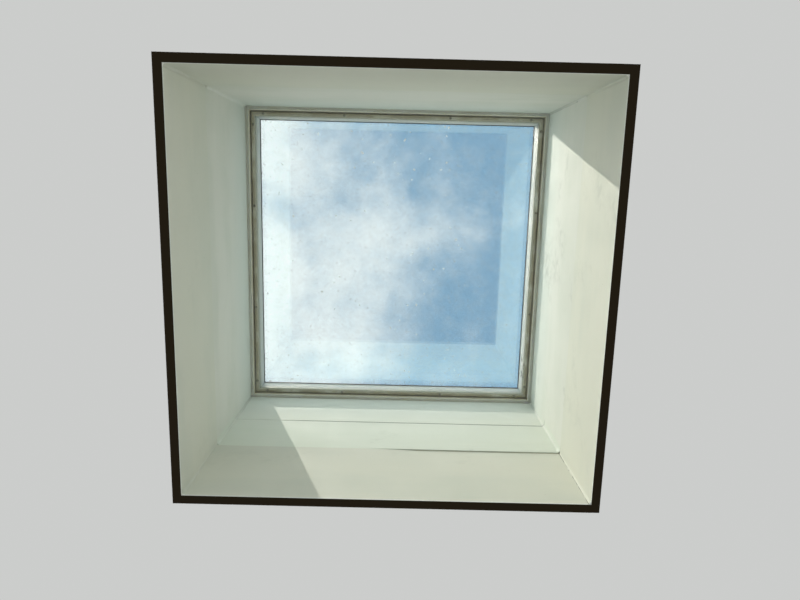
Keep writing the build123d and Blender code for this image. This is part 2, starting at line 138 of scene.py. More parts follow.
def near(material, value, centre, reach):
    """1 where a value is at this centre, falling to 0 at this reach on each side."""
    away = maths(material, "ABSOLUTE", maths(material, "SUBTRACT", value, centre))
    return ramp(material, away, 0.0, reach, 1.0, 0.0)


def square_reach(material):
    """How far a point lies from the well's axis, measured square to the nearest side."""
    across, along, up = axes(material)
    sides = [maths(material, "ABSOLUTE", value) for value in (across, along)]
    return maths(material, "MAXIMUM", *sides)


def within(material, half):
    """1 on the faces round the well, no further from its axis than this, and 0 further out."""
    return maths(material, "LESS_THAN", square_reach(material), half)


millimetre = 0.001
joined_below = 0.002 * millimetre
flat_below = radians(0.5)
edge_above = radians(30)


def merged(node_name):
    """A bmesh of a CAD node with its corners joined and its flat faces whole."""
    builder = bmesh.new()
    builder.from_mesh(nodes[node_name].data)
    bmesh.ops.remove_doubles(builder, verts=builder.verts, dist=joined_below)
    bmesh.ops.dissolve_limit(builder, angle_limit=flat_below, verts=builder.verts, edges=builder.edges)
    return builder


def shown(builder, name, material, slot, *stands_for):
    """Makes a finished piece from a bmesh, with its material, body and the nodes it stands for. Its slot is
    not used.
    """
    mesh = bpy.data.meshes.new(name)
    builder.to_mesh(mesh)
    builder.free()
    mesh.materials.append(material)
    for face in mesh.polygons:
        face.use_smooth = True
    piece = bpy.data.objects.new(name, mesh)
    bpy.context.scene.collection.objects.link(piece)
    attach(piece, "root")
    if stands_for:
        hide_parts(*stands_for)
    return piece


def soften(piece, width, segments=2):
    """Rounds a piece's sharp edges, as sanding, moulding or folding leaves them."""
    bevel = piece.modifiers.new("eased edges", "BEVEL")
    bevel.width = width
    bevel.segments = segments
    bevel.limit_method = "ANGLE"
    bevel.angle_limit = edge_above
    even = piece.modifiers.new("even shading", "WEIGHTED_NORMAL")
    even.keep_sharp = True


paint_white = (0.768, 0.756, 0.692)
paint_thick = (0.680, 0.688, 0.610)
frame_shade_tone = (0.676, 0.706, 0.645)
sky_tint_mint = (0.735, 0.785, 0.680)
board_white = (0.755, 0.742, 0.652)
# Painted shade for the lower boards: low on the front board and under the back joint.
board_shade = (0.604, 0.594, 0.522)
rim_highlight_white = (0.880, 0.880, 0.830)
# A grey for smudges and specks, also used for painted shade on the corner beads.
smudge_and_shade_grey = (0.400, 0.405, 0.350)
rim_brown = (0.028, 0.017, 0.005)
joint_and_shadow_dark = (0.060, 0.055, 0.042)
rim_highlight_height = 2.2 * millimetre
deck_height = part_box("lining_left")[1].z
lining_face = -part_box("lining_left")[1].x
strip_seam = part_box("curb_back_lower")[1].z
wall_from = 0.270
wall_full = 0.280


def rolled_tone(material, upper_tier, back_face, mottle):
    """The rolled paint: warmer on the lower boards, with thicker lap marks, painted shade and sky tint."""
    across, along, up = axes(material)
    tone = blend(material, upper_tier, board_white, paint_white)
    lap = ramp(material, cloud(material, 2.4, place(material, (1.0, 1.0, 5.0)), 3), 0.40, 0.62)
    tone = blend(material, product(material, lap, mottle), tone, paint_thick)
    # Painted shade: the paint turns darker and cooler towards the frame.
    tone = blend(material, ramp(material, up, 0.26, 0.39, 0.0, 0.9), tone, frame_shade_tone)
    # Painted shade: the front board is darker towards the lower rim.
    front_face = ramp(material, along, -0.284, -0.281, 1.0, 0.0)
    front_low_shade = product(material, ramp(material, up, 0.0, 1.3 * deck_height, 0.75, 0.0), front_face)
    tone = blend(material, front_low_shade, tone, board_shade)
    # A painted tint of cool sky light on the back's upper boards, fading out towards the frame.
    back_sky_tint = product(material, upper_tier, back_face, ramp(material, up, 0.22, 0.34, 0.5, 0.0))
    tone = blend(material, back_sky_tint, tone, sky_tint_mint)
    # Painted shade on the back's lower board: darker towards the joint under the curb's overhang, less at
    # the right.
    under_joint_shade = product(
        material,
        remainder(material, upper_tier),
        back_face,
        ramp(material, up, 0.3 * deck_height, deck_height),
        ramp(material, across, -0.2, 0.2, 0.4, 0.15),
    )
    return blend(material, under_joint_shade, tone, board_shade)


def grime_share(material, upper_tier):
    """Where hands and dust have smeared the paint, most of all at the right."""
    across = axes(material)[0]
    smear = cloud(material, 7, place(material, (0.8, 0.8, 1.6), (3.1, 0.7, 1.9), (0.5, 0.5, 0.7)), 5, 0.65)
    smear = maths(material, "ADD", smear, ramp(material, across, wall_from, wall_full, 0.0, 0.07))
    streaks = ramp(material, cloud(material, 70), 0.3, 0.7)
    strength = ramp(material, upper_tier, 0.0, 1.0, 0.25, 0.45)
    return product(material, ramp(material, smear, 0.60, 0.78), streaks, strength)


def open_joint_and_groove_shadow(material, back_face):
    """The back's dark joints: the lower where its filler has come away, the upper a painted shadow where
    lit.
    """
    across, along, up = axes(material)
    deck_open = ramp(material, across, -0.02, 0.06)
    deck_line = product(material, near(material, up, deck_height, 1.5 * millimetre), deck_open, 0.35)
    # Painted shadow: the upper joint's line is drawn only on the lamp-lit part of the back wall.
    strip_sunlit = ramp(material, across, -0.22, -0.15)
    strip_shadow_line = product(material, near(material, up, strip_seam, 1.8 * millimetre), strip_sunlit, 0.8)
    return product(material, maths(material, "MAXIMUM", deck_line, strip_shadow_line), back_face)


def house_paint(material):
    """The rolled white paint's colour, roughness and relief: lap marks, smudges, painted shade and
    highlight.
    """
    across, along, up = axes(material)
    upper_tier = ramp(material, up, deck_height - millimetre, deck_height)
    back_face = ramp(material, along, wall_from, wall_full)
    mottle = cloud(material, 14, detail=4)
    tone = rolled_tone(material, upper_tier, back_face, mottle)
    tone = blend(material, grime_share(material, upper_tier), tone, smudge_and_shade_grey)
    speck = ramp(material, cloud(material, 260, detail=1), 0.80, 0.84)
    tone = blend(material, product(material, speck, 0.5), tone, smudge_and_shade_grey)
    tone = blend(material, open_joint_and_groove_shadow(material, back_face), tone, joint_and_shadow_dark)
    # A painted highlight: a thin lighter line along the lower rim, where the edge catches the light.
    tone = blend(material, ramp(material, up, 0.7 * rim_highlight_height, rim_highlight_height, 1.0, 0.0), tone, rim_highlight_white)
    sheen = ramp(material, mottle, 0.3, 0.7, 0.66, 0.78)
    stipple = relief(material, cloud(material, 700, detail=2), 0.05 * millimetre)
    roller = cloud(material, 55, place(material, (0.1, 0.1, 1)), 3, 0.6)
    strokes = relief(material, roller, 0.12 * millimetre, stipple)
    waves = relief(material, cloud(material, 4, detail=1), 0.8 * millimetre, strokes)
    return tone, sheen, waves


veneer_light = (0.560, 0.410, 0.250)
veneer_dark = (0.400, 0.270, 0.155)
ply_core = (0.270, 0.165, 0.085)
ply_thickness = 2.54 * millimetre
board_ease = 0.4 * millimetre
paint_wrap = 1.2 * millimetre
rim_wrap = 0.3 * millimetre
paint_gloss = 0.3


def plywood(name, through):
    """Plywood, painted on the well's side. The axis numbered through crosses its plies."""
    material, shader = new_material(name, paint_white, 0.7, Specular_IOR_Level=paint_gloss)
    painted = within(material, lining_face + paint_wrap)
    bare = remainder(material, painted)
    paint_tone, paint_roughness, paint_bumps = house_paint(material)
    grain = cloud(material, 30, place(material, (0.06, 0.06, 1)), 6, 0.65)
    veneer = blend(material, ramp(material, grain, 0.35, 0.68), veneer_light, veneer_dark)
    depth = maths(material, "SUBTRACT", maths(material, "ABSOLUTE", axes(material)[through]), lining_face)
    layer = maths(material, "PINGPONG", depth, ply_thickness)
    cross_ply = ramp(material, layer, 0.42 * ply_thickness, 0.58 * ply_thickness)
    veneer = blend(material, product(material, cross_ply, 0.6), veneer, ply_core)
    tone = blend(material, painted, veneer, paint_tone)
    lowest = ramp(material, axes(material)[2], 0.6 * millimetre, millimetre, 1.0, 0.0)
    brown_share = product(material, lowest, remainder(material, within(material, lining_face + rim_wrap)))
    feed(
        material,
        shader,
        Base_Color=blend(material, brown_share, tone, rim_brown),
        Roughness=maths(material, "ADD", paint_roughness, product(material, bare, 0.12)),
        Normal=relief(material, product(material, grain, bare), 0.3 * millimetre, paint_bumps),
    )
    return material


side_plywood = plywood("plywood, sides", 0)
end_plywood = plywood("plywood, front and back", 1)
for side, wood in (
    ("left", side_plywood),
    ("right", side_plywood),
    ("front", end_plywood),
    ("back", end_plywood),
):
    board = shown(merged(f"lining_{side}"), f"lining_board_{side}", wood, "painted_board", f"lining_{side}")
    soften(board, board_ease)


# The boards' screws are countersunk wood screws of zinc-plated steel, driven from outside through one
# board into the end of the next. Each head has a cross recess and lies level with the wood.
def islands(node_name):
    """The lowest and highest corner of each separate solid of a CAD node, in order of place."""
    builder = merged(node_name)
    left = set(builder.verts)
    boxes = []
    while left:
        found = [left.pop()]
        for vertex in found:
            for edge in vertex.link_edges:
                other = edge.other_vert(vertex)
                if other in left:
                    left.discard(other)
                    found.append(other)
        columns = list(zip(*(vertex.co for vertex in found)))
        boxes.append((Vector(map(min, columns)), Vector(map(max, columns))))
    builder.free()
    return sorted(boxes, key=lambda ends: [round(value, 4) for value in ends[0]])


def wrap(builder, rim, radius, height):
    """Extrudes a rim of edges to a circle of this radius at this height."""
    grown = bmesh.ops.extrude_edge_only(builder, edges=rim)["geom"]
    for vertex in grown:
        if isinstance(vertex, bmesh.types.BMVert):
            flat = vertex.co.to_2d().normalized() * radius
            vertex.co = (flat.x, flat.y, height)
    return [edge for edge in grown if isinstance(edge, bmesh.types.BMEdge)]


recess_cells = 5
recess_taper = 0.7


def cross_screw(profile, recess, depth):
    """A screw pointing down from z = 0, made of an outline of radii and heights, with a cross recess."""
    builder = bmesh.new()
    bmesh.ops.create_grid(builder, x_segments=recess_cells, y_segments=recess_cells, size=recess)
    arm = recess / recess_cells
    rim = [edge for edge in builder.edges if edge.is_boundary]
    middle = [face.calc_center_median() for face in builder.faces]
    cross = [face for face, centre in zip(builder.faces, middle) if min(abs(centre.x), abs(centre.y)) < arm]
    for radius, height in profile:
        rim = wrap(builder, rim, radius, height)
    bmesh.ops.edgeloop_fill(builder, edges=rim)
    floor = bmesh.ops.extrude_face_region(builder, geom=cross)["geom"]
    bmesh.ops.delete(builder, geom=cross, context="FACES_ONLY")
    floor = [vertex for vertex in floor if isinstance(vertex, bmesh.types.BMVert)]
    bmesh.ops.scale(builder, vec=(recess_taper, recess_taper, 1.0), verts=floor)
    bmesh.ops.translate(builder, vec=(0, 0, -depth), verts=floor)
    bmesh.ops.recalc_face_normals(builder, faces=builder.faces)
    return builder


turn_step = 37.0
turn_limit = 90.0


def repeated(node_name, make, facing=None):
    """One bmesh with a screw for each solid of a CAD node. The heads face outwards, or the way given."""
    together = bmesh.new()
    for low, high in islands(node_name):
        size = high - low
        axis = max(range(3), key=lambda index: size[index])
        centre = (low + high) / 2
        outward = Vector((0, 0, 0))
        outward[axis] = 1 if centre[axis] > 0 else -1
        outward = facing or outward
        across = min(size[index] for index in range(3) if index != axis) / 2
        screw = make(size[axis], across)
        tilt = Vector((0, 0, 1)).rotation_difference(outward).to_matrix().to_4x4()
        twist = Matrix.Rotation(radians(turn_step * len(together.verts) % turn_limit), 4, "Z")
        bmesh.ops.transform(screw, matrix=tilt @ twist, verts=screw.verts)
        bmesh.ops.translate(screw, vec=centre + outward * size[axis] / 2, verts=screw.verts)
        carrier = bpy.data.meshes.new("screw")
        screw.to_mesh(carrier)
        screw.free()
        together.from_mesh(carrier)
        bpy.data.meshes.remove(carrier)
    return together


def countersunk(length, head):
    """A countersunk wood screw of this length, with its head's radius."""
    shank = head * 0.5
    outline = [
        (head * 0.80, 0.0),
        (head, -0.02 * head),
        (head, -0.10 * head),
        (shank * 1.08, -0.60 * head),
        (shank, -0.75 * head),
        (shank, -length + 1.5 * head),
        (0.08 * head, -length),
    ]
    return cross_screw(outline, 0.46 * head, 0.42 * head)


def smooth_by_angle(piece, angle=32):
    """Shades a piece smooth, apart from its edges over this angle."""
    piece.data.set_sharp_from_angle(angle=radians(angle))


zinc_light = (0.560, 0.565, 0.560)
zinc_dark = (0.340, 0.345, 0.350)
zinc, zinc_shader = new_material("zinc plating", zinc_light, 0.36, Metallic=1.0)
zinc_cloud = cloud(zinc, 380, detail=4)
feed(
    zinc,
    zinc_shader,
    Base_Color=blend(zinc, ramp(zinc, zinc_cloud, 0.35, 0.7), zinc_light, zinc_dark),
    Roughness=ramp(zinc, zinc_cloud, 0.3, 0.7, 0.28, 0.52),
    Normal=relief(zinc, cloud(zinc, 2200, detail=2), 0.02 * millimetre),
)
lining_screws = repeated("lining_screws", countersunk)
lining_screws = shown(lining_screws, "lining_wood_screws", zinc, "zinc_screw", "lining_screws")
smooth_by_angle(lining_screws)


# The curb is a box of planed softwood on the roof deck. Its side boards run past the others, and its back
# is two strips. The inner faces are painted with the lining, the outer faces are bare, weathered wood.
timber_light = (0.640, 0.460, 0.270)
timber_dark = (0.430, 0.260, 0.120)
timber_weathered = (0.330, 0.290, 0.230)
knot_brown = (0.170, 0.080, 0.035)
curb_face = -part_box("curb_left")[1].x
ring_pitch = 2.8 * millimetre
wave_length = 0.314
grain_stretch = 0.10
fibre_stretch = 0.03
knot_stretch = 0.55


def growth_rings(material, stretched):
    """Rings about the board's pith line, a little bent, as a sawn board shows them."""
    bend = product(material, cloud(material, 5, stretched, 2), 0.02)
    bend = node(material, "CombineXYZ", {1: bend}).outputs[0]
    wavy = node(material, "VectorMath", {0: stretched, 1: bend}, operation="ADD").outputs[0]
    inputs = {
        "Vector": wavy,
        "Scale": wave_length / ring_pitch,
        "Distortion": 2.0,
        "Detail": 2.0,
        "Detail Scale": 0.15,
    }
    layout = {"wave_type": "RINGS", "rings_direction": "X", "wave_profile": "SAW"}
    return node(material, "TexWave", inputs, **layout).outputs[1]


def curb_wood(name, turn, pith):
    """Softwood whose grain runs along a board, with growth rings about a pith line and a few knots."""
    material, shader = new_material(name, timber_light, 0.6, Specular_IOR_Level=paint_gloss)
    stretched = place(material, (grain_stretch, 1.0, 1.0), pith, turn)
    late_wood = ramp(material, growth_rings(material, stretched), 0.35, 1.0)
    late_wood = product(material, late_wood, cloud(material, 9, stretched, 3))
    fibre = cloud(material, 420, place(material, (fibre_stretch, 1.0, 1.0), turn=turn), 4, 0.7)
    grain = maths(material, "ADD", product(material, late_wood, 1.1), product(material, fibre, 0.6))
    tone = blend(material, ramp(material, grain, 0.25, 0.95), timber_light, timber_dark)
    knot_place = place(material, (knot_stretch, 1.0, 1.0), (0.31, 0.17, 0.05), turn)
    knot = node(material, "TexVoronoi", {"Vector": knot_place, "Scale": 5.5}).outputs["Distance"]
    eye = ramp(material, knot, 0.035, 0.075, 1.0, 0.0)
    tone = blend(material, product(material, eye, 0.85), tone, knot_brown)
    weathered = ramp(material, cloud(material, 5, detail=5, roughness=0.6), 0.42, 0.75)
    tone = blend(material, product(material, weathered, 0.45), tone, timber_weathered)
    painted = within(material, curb_face + paint_wrap)
    paint_tone, paint_roughness, paint_bumps = house_paint(material)
    bare_grain = product(material, grain, remainder(material, painted))
    feed(
        material,
        shader,
        Base_Color=blend(material, painted, tone, paint_tone),
        Roughness=maths(material, "ADD", paint_roughness, ramp(material, painted, 0, 1, 0.1, 0.0)),
        Normal=relief(material, bare_grain, 0.10 * millimetre, paint_bumps),
    )
    return material


timber_sides = curb_wood("curb softwood, sides", (0.03, 0.0, radians(90)), (0.0, 0.02, -0.33))
timber_ends = curb_wood("curb softwood, front and back", (0.0, -0.03, 0), (0.0, 0.05, -0.22))
for board_name, wood in (
    ("curb_left", timber_sides),
    ("curb_right", timber_sides),
    ("curb_front", timber_ends),
    ("curb_back_lower", timber_ends),
    ("curb_back_upper", timber_ends),
):
    board = shown(merged(board_name), f"{board_name}_board", wood, "curb_timber", board_name)
    soften(board, board_ease)


# The curb's corner screws are long countersunk wood screws of zinc-plated steel. They are driven through
# the side boards into the end grain of the front and back boards.
corner_screws = repeated("curb_corner_screws", countersunk)
corner_screws = shown(corner_screws, "curb_corner_wood_screws", zinc, "zinc_screw", "curb_corner_screws")
smooth_by_angle(corner_screws)


# The well's inner corners are closed with a bead of paintable sealant, tooled with a wet finger and painted
# over. The bead is a little uneven, and in the corner between back and right it has cracked from the board.
# Some beads carry painted shade: those at front-right and back-left, and the back-right one above the deck.
caulk_dust = (0.150, 0.150, 0.120)
caulk_edge = lining_face - 3.1 * millimetre
bead_cuts = 60
bead_least = 20 * millimetre
bead_wobble = 0.35 * millimetre
caulk, caulk_shader = new_material("painted sealant", paint_white, 0.7, Specular_IOR_Level=paint_gloss)
caulk_paint, caulk_roughness, caulk_bumps = house_paint(caulk)
caulk_cloud = cloud(caulk, 60, place(caulk, (1, 1, 0.35)), 4)
caulk_x, caulk_y, caulk_z = axes(caulk)
right_side = maths(caulk, "GREATER_THAN", caulk_x, 0.0)
back_side = maths(caulk, "GREATER_THAN", caulk_y, 0.0)
dust_bits = ramp(caulk, cloud(caulk, 150, place(caulk, (1, 1, 0.4)), 2), 0.66, 0.74)
dust_bits = product(caulk, dust_bits, right_side)
crack = product(
    caulk,
    near(caulk, caulk_x, caulk_edge, 0.7 * millimetre),
    ramp(caulk, caulk_y, 0.0, 0.1),
    ramp(caulk, caulk_z, deck_height - millimetre, deck_height, 1.0, 0.0),
    ramp(caulk, cloud(caulk, 30, detail=2), 0.35, 0.5),
)
caulk_dirt = maths(caulk, "MAXIMUM", product(caulk, dust_bits, 0.5), crack)
back_right = product(caulk, right_side, back_side)
one_side = maths(caulk, "ABSOLUTE", maths(caulk, "SUBTRACT", right_side, back_side))
# Painted shade: the beads in the front-right and back-left corners are darker, most of all higher up.
corner_shade = product(caulk, ramp(caulk, caulk_z, deck_height, 2 * deck_height, 0.35, 1.0), one_side)
# Painted shade: the back-right bead is darker above the deck joint, where it faces the lamp.
lit_bead_shade = ramp(caulk, caulk_z, deck_height, deck_height + 20 * millimetre)
lit_bead_shade = product(caulk, lit_bead_shade, back_right)
caulk_tone = blend(caulk, product(caulk, corner_shade, 0.45), caulk_paint, smudge_and_shade_grey)
caulk_tone = blend(caulk, product(caulk, lit_bead_shade, 0.30), caulk_tone, smudge_and_shade_grey)
feed(
    caulk,
    caulk_shader,
    Base_Color=blend(caulk, caulk_dirt, caulk_tone, caulk_dust),
    Roughness=caulk_roughness,
    Normal=relief(caulk, caulk_cloud, 0.5 * millimetre, caulk_bumps),
)
caulk_beads = merged("corner_caulk")
upright = []
for edge in caulk_beads.edges:
    top, foot = edge.verts
    if abs((top.co - foot.co).z) > bead_least:
        upright.append(edge)
bmesh.ops.subdivide_edges(caulk_beads, edges=upright, cuts=bead_cuts, use_grid_fill=True)
for vertex in caulk_beads.verts:
    inward = Vector((-vertex.co.x, -vertex.co.y, 0)).normalized()
    wobble = noise.noise(vertex.co * 45) + 0.5 * noise.noise(vertex.co * 160)
    vertex.co += inward * wobble * bead_wobble
caulk_beads = shown(caulk_beads, "corner_sealant_beads", caulk, "caulk", "corner_caulk")
smooth_by_angle(caulk_beads, 50)


# The small step between the lining and the curb is closed with filler, feathered down the boards and
# painted over. At the back it ends near the middle, and the joint has opened again to the right of it.
step_fill = bmesh.new()
fill_foot = 0.2 * deck_height
fill_skin = 0.1 * millimetre
joint_open_from = 45 * millimetre
joint_closed_at = -35 * millimetre
thin_section = (
    (lining_face, fill_foot),
    (lining_face - fill_skin, deck_height - fill_skin),
    (lining_face + 2 * fill_skin, deck_height - fill_skin),
)
full_section = (
    (lining_face, fill_foot),
    (curb_face - 0.4 * fill_skin, deck_height + 10 * fill_skin),
    (lining_face + 5 * fill_skin, deck_height + 4 * fill_skin),
)
stations = [
    [(joint_open_from, half, height) for half, height in thin_section],
    [(joint_closed_at, half, height) for half, height in full_section],
]
for across, along in ((-1, 1), (-1, -1), (1, -1), (1, 1)):
    stations.append([(across * half, along * half, height) for half, height in full_section])
loops = []
for station in stations:
    corners = [step_fill.verts.new(point) for point in station]
    loops.append([step_fill.edges.new(pair) for pair in zip(corners, corners[1:] + corners[:1])])
for first, second in zip(loops, loops[1:]):
    bmesh.ops.bridge_loops(step_fill, edges=first + second)
for end in (loops[0], loops[-1]):
    bmesh.ops.edgeloop_fill(step_fill, edges=end)
bmesh.ops.recalc_face_normals(step_fill, faces=step_fill.faces)
filler, filler_shader = new_material("painted filler", paint_white, 0.7, Specular_IOR_Level=paint_gloss)
filler_tone, filler_roughness, filler_bumps = house_paint(filler)
feed(filler, filler_shader, Base_Color=filler_tone, Roughness=filler_roughness, Normal=filler_bumps)
step_fill = shown(step_fill, "joint_paint_fill", filler, "caulk")
smooth_by_angle(step_fill, 5)


# The curb stands on four cleats of galvanized angle, screwed to its sides. Hot-dip zinc leaves a spangle
# of large soft crystals, dulled by the weather.
spangle_light = (0.600, 0.615, 0.625)
spangle_dark = (0.420, 0.435, 0.450)
bloom_white = (0.660, 0.670, 0.660)
fold_ease = 0.35 * millimetre
galvanized, galvanized_shader = new_material("galvanized steel", spangle_light, 0.4, Metallic=1.0)
spangle_cells = {"Vector": place(galvanized), "Scale": 160.0}
crystals = node(galvanized, "TexVoronoi", spangle_cells, distance="CHEBYCHEV")
crystal_tone = node(galvanized, "SeparateXYZ", {0: crystals.outputs["Color"]}).outputs[0]
crystal_sheen = ramp(galvanized, crystal_tone, 0, 1, 0.28, 0.42)
crystal_colour = blend(galvanized, crystal_tone, spangle_dark, spangle_light)
bloom = ramp(galvanized, cloud(galvanized, 24, detail=5, roughness=0.62), 0.5, 0.75)
feed(
    galvanized,
    galvanized_shader,
    Base_Color=blend(galvanized, product(galvanized, bloom, 0.5), crystal_colour, bloom_white),
    Roughness=maths(galvanized, "ADD", crystal_sheen, product(galvanized, bloom, 0.25)),
    Normal=relief(galvanized, crystal_tone, 0.03 * millimetre),
)
for corner in ("front_left", "front_right", "back_left", "back_right"):
    cleat = merged(f"curb_cleat_{corner}")
    cleat = shown(cleat, f"cleat_{corner}", galvanized, "galvanized_steel", f"curb_cleat_{corner}")
    soften(cleat, fold_ease)


# The cleats' screws are zinc-plated wood screws. Their six-sided heads have a pressed washer face, and a
# socket drives them through the cleats into the curb.
def hex_head(head_height, shank):
    """A maker of hex-head screws with this head height and shank radius."""
    flange = 0.2 * head_height
    round_sides = 28

    def make(length, across):
        builder = bmesh.new()
        bmesh.ops.create_circle(builder, cap_ends=True, segments=6, radius=across * 0.84)
        rim = [edge for edge in builder.edges if edge.is_boundary]
        for radius, height in ((1.00, -0.03), (1.15, -0.20), (1.15, -0.84)):
            rim = wrap(builder, rim, radius * across, height * head_height)
        bmesh.ops.edgeloop_fill(builder, edges=rim)
        bmesh.ops.create_circle(builder, cap_ends=True, segments=round_sides, radius=across * 1.02)
        washer_face = builder.verts[-round_sides:]
        bmesh.ops.translate(builder, vec=(0, 0, -head_height + flange), verts=washer_face)
        rim = [edge for edge in builder.edges if edge.is_boundary]
        outline = (
            (across * 1.14, -head_height + 0.5 * flange),
            (across * 1.14, -head_height),
            (shank, -head_height),
            (shank, -length + 3 * shank),
            (0.15 * shank, -length),
        )
        for radius, height in outline:
            rim = wrap(builder, rim, radius, height)
        bmesh.ops.edgeloop_fill(builder, edges=rim)
        bmesh.ops.recalc_face_normals(builder, faces=builder.faces)
        return builder

    return make


cleat_screws = repeated("cleat_screws", hex_head(3.6 * millimetre, 2.4 * millimetre))
cleat_screws = shown(cleat_screws, "cleat_hex_screws", zinc, "zinc_screw", "cleat_screws")
smooth_by_angle(cleat_screws)


# A strip of dark closed-cell foam lies between the curb's top and the frame. It is cut from sheet, and the
# frame's weight and screws press it flat.
def finished(node_name, material):
    """Gives a CAD solid, shown as it is, its finish."""
    nodes[node_name].data.materials.clear()
    nodes[node_name].data.materials.append(material)


foam_dark = (0.045, 0.046, 0.048)
foam_grey = (0.085, 0.083, 0.078)
foam, foam_shader = new_material("closed-cell foam", foam_dark, 0.9)
foam_cells = node(foam, "TexVoronoi", {"Vector": place(foam), "Scale": 1400.0}).outputs["Distance"]
feed(
    foam,
    foam_shader,
    Base_Color=blend(foam, cloud(foam, 90), foam_dark, foam_grey),
    Normal=relief(foam, foam_cells, 0.3 * millimetre),
)
finished("curb_gasket", foam)


# The frame is a hollow white PVC section, sawn at 45 degrees and welded at its corners. Age has yellowed it
# a little, and black sealant has smeared the right lip. Beside its slot it is brown, partly dirt and partly
# painted shade; the slot is painted lighter against its shade, and the lip has painted sky light and shade
# at its foot.
pvc_white = (0.740, 0.750, 0.700)
pvc_aged = (0.660, 0.655, 0.575)
pvc_dirt = (0.130, 0.125, 0.095)
stain_and_shade_brown = (0.380, 0.340, 0.250)
slot_light_tan = (0.780, 0.700, 0.540)
lip_skylit = (0.620, 0.660, 0.645)
lip_foot_shade = (0.330, 0.345, 0.290)
smear_black = (0.050, 0.050, 0.045)
frame_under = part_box("inner_frame")[0].z
slot_centre = curb_face - 8.0 * millimetre
stain_shade_centre = slot_centre - 3.5 * millimetre
lip_half = curb_face - 16.6 * millimetre
milky = {"Subsurface_Weight": 0.35, "Subsurface_Radius": (0.004, 0.004, 0.003), "Subsurface_Scale": 1.0}
pvc, pvc_shader = new_material("aged white PVC", pvc_white, 0.4, **milky)
pvc_x, pvc_y, pvc_z = axes(pvc)
pvc_reach = square_reach(pvc)
pvc_mottle = cloud(pvc, 18, detail=5, roughness=0.6)
pvc_tone = blend(pvc, ramp(pvc, pvc_mottle, 0.35, 0.7), pvc_white, pvc_aged)
# Brown beside the slot on the recessed band: partly dirt, partly painted shade.
stain_and_shade = ramp(pvc, cloud(pvc, 26, detail=4), 0.25, 0.55)
stain_and_shade = product(pvc, stain_and_shade, near(pvc, pvc_reach, stain_shade_centre, 8 * millimetre))
pvc_tone = blend(pvc, product(pvc, stain_and_shade, 0.9), pvc_tone, stain_and_shade_brown)
# The lip is painted with cool sky light, fading down to painted shade at its foot.
lip_share = ramp(pvc, pvc_reach, lip_half, lip_half + millimetre, 1.0, 0.0)
lip_lit_share = ramp(pvc, pvc_z, frame_under + 6 * millimetre, frame_under + 19 * millimetre)
pvc_tone = blend(pvc, lip_share, pvc_tone, blend(pvc, lip_lit_share, lip_foot_shade, lip_skylit))
# Painted light: the slot is coloured lighter and warmer to lift the shade inside it.
slot_light_share = near(pvc, pvc_reach, slot_centre, 2.6 * millimetre)
slot_light_share = product(pvc, slot_light_share, near(pvc, pvc_z, frame_under, 16 * millimetre))
pvc_tone = blend(pvc, slot_light_share, pvc_tone, slot_light_tan)
weld = near(pvc, maths(pvc, "ABSOLUTE", pvc_x), maths(pvc, "ABSOLUTE", pvc_y), 0.9 * millimetre)
weld_dirt = product(pvc, weld, ramp(pvc, cloud(pvc, 80), 0.25, 0.5))
pvc_tone = blend(pvc, product(pvc, weld_dirt, 0.2), pvc_tone, pvc_dirt)
pvc_speck = ramp(pvc, cloud(pvc, 420, detail=1), 0.74, 0.78)
pvc_tone = blend(pvc, product(pvc, pvc_speck, 0.6), pvc_tone, pvc_dirt)
smear_near = near(pvc, pvc_y, 210 * millimetre, 34 * millimetre)
smear_place = product(pvc, smear_near, ramp(pvc, pvc_x, 0.0, 0.1), lip_share)
smear_streaks = ramp(pvc, cloud(pvc, 260, place(pvc, (1.0, 0.22, 1.0)), 3, 0.6), 0.52, 0.62)
smear_share = product(pvc, ramp(pvc, smear_place, 0.0, 0.4), smear_streaks)
pvc_tone = blend(pvc, smear_share, pvc_tone, smear_black)
draw_lines = relief(pvc, cloud(pvc, 900, detail=1), 0.03 * millimetre)
feed(
    pvc,
    pvc_shader,
    Base_Color=pvc_tone,
    Roughness=ramp(pvc, pvc_mottle, 0.3, 0.7, 0.32, 0.5),
    Normal=relief(pvc, weld, -0.12 * millimetre, draw_lines),
)
welded_frame = shown(merged("inner_frame"), "welded_frame", pvc, "frame_pvc", "inner_frame")
soften(welded_frame, 0.3 * millimetre)


# Bars of galvanized steel slide into the frame's chambers before its corners are welded. They stiffen it
# and take its screws.
finished("frame_bars", galvanized)


# Small pan-head screws join the frame to its bars from below, in the recessed band. They are plated steel
# that has dulled, and their cross recesses hold dirt.
def pan_head(head_height, shank):
    """A maker of cross-recessed pan-head screws with this head height and shank radius."""

    def make(length, head):
        outline = [
            (head * 0.62, 0.0),
            (head * 0.82, -0.10 * head_height),
            (head * 0.96, -0.32 * head_height),
            (head, -0.62 * head_height),
            (head, -head_height),
            (shank, -head_height),
            (shank, -length + 3 * shank),
            (0.15 * shank, -length),
        ]
        return cross_screw(outline, 0.40 * head, 0.55 * head_height)

    return make


dull_metal = (0.330, 0.320, 0.280)
screw_rust = (0.160, 0.100, 0.060)
dulled, dulled_shader = new_material("dulled screw steel", dull_metal, 0.5, Metallic=0.6)
dulled_cloud = cloud(dulled, 500, detail=4)
feed(
    dulled,
    dulled_shader,
    Base_Color=blend(dulled, ramp(dulled, dulled_cloud, 0.5, 0.75), dull_metal, screw_rust),
    Roughness=ramp(dulled, dulled_cloud, 0.3, 0.7, 0.38, 0.7),
    Normal=relief(dulled, dulled_cloud, 0.08 * millimetre),
)
down = Vector((0, 0, -1))
frame_screws = repeated("frame_screws", pan_head(1.7 * millimetre, 1.5 * millimetre), down)
frame_screws = shown(frame_screws, "frame_pan_screws", dulled, "frame_screw", "frame_screws")
smooth_by_angle(frame_screws)


